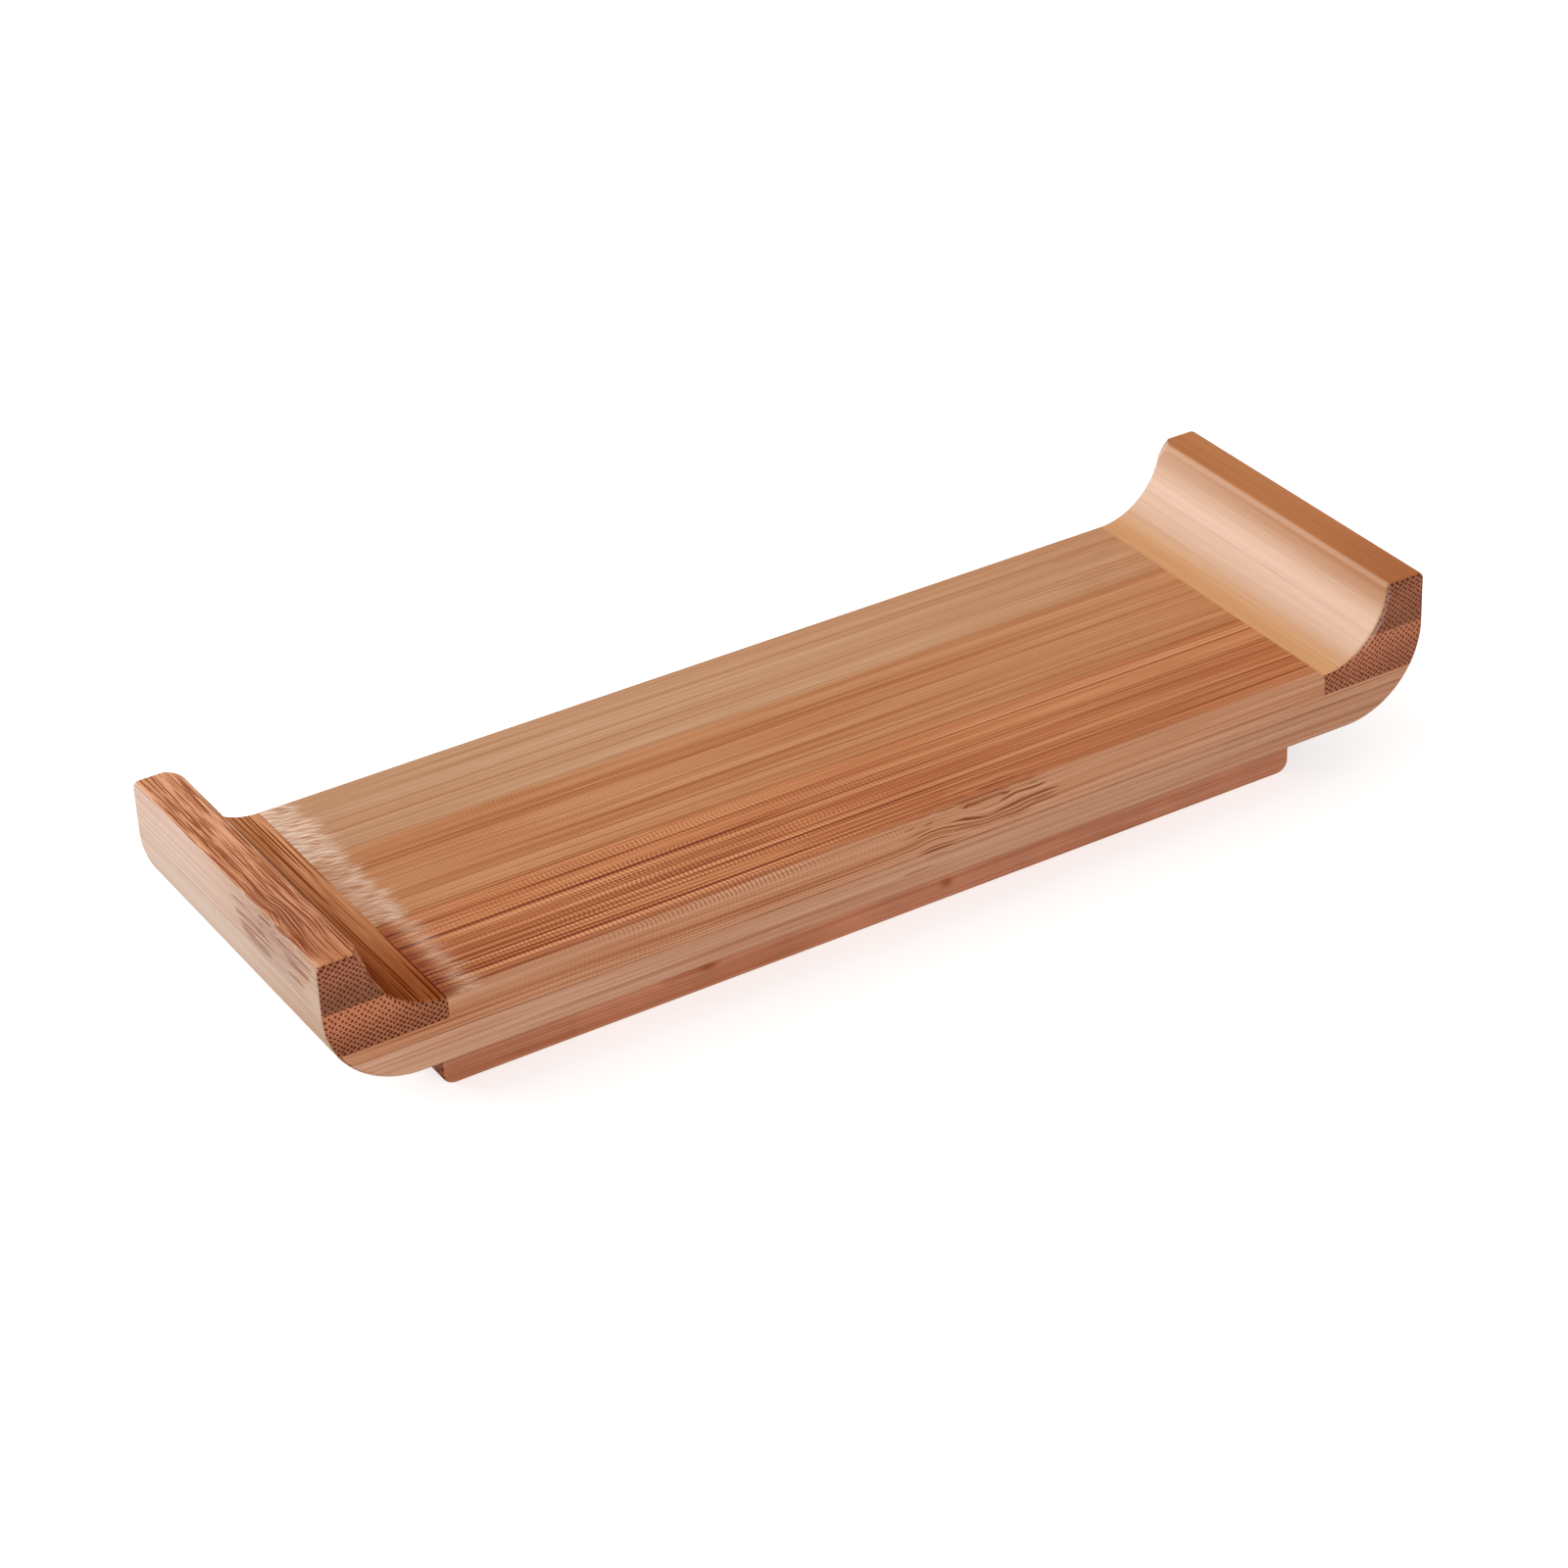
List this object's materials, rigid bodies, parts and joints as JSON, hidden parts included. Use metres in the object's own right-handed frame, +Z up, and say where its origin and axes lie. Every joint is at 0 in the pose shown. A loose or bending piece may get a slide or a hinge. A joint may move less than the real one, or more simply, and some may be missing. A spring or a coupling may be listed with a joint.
{
  "type": "sushi geta board",
  "caption": "Long flat bamboo serving board for sushi, with an upturned coved lip across each end and runner feet along the underside.",
  "frame": {"origin": "on the table under the middle of the board", "axes": "+X along the board towards the right lip, -Y towards the front, +Z up"},
  "size_m": [0.21, 0.0666, 0.0351],
  "materials": {
    "deck_bamboo": "satin oil",
    "deck_bamboo_pale": "satin oil",
    "lip_bamboo": "satin oil",
    "runner_bamboo": "satin oil"
  },
  "bodies": {
    "root": {"deck_top_strip_front": "deck_bamboo", "deck_top_strip_middle": "deck_bamboo", "deck_top_strip_back": "deck_bamboo_pale", "deck_bottom_strip_front": "deck_bamboo", "deck_bottom_strip_middle": "deck_bamboo", "deck_bottom_strip_back": "deck_bamboo", "left_lip_lower_strip": "lip_bamboo", "left_lip_upper_strip": "lip_bamboo", "right_lip_lower_strip": "lip_bamboo", "right_lip_upper_strip": "lip_bamboo", "front_runner": "runner_bamboo", "back_runner": "runner_bamboo"}
  },
  "joints": []
}
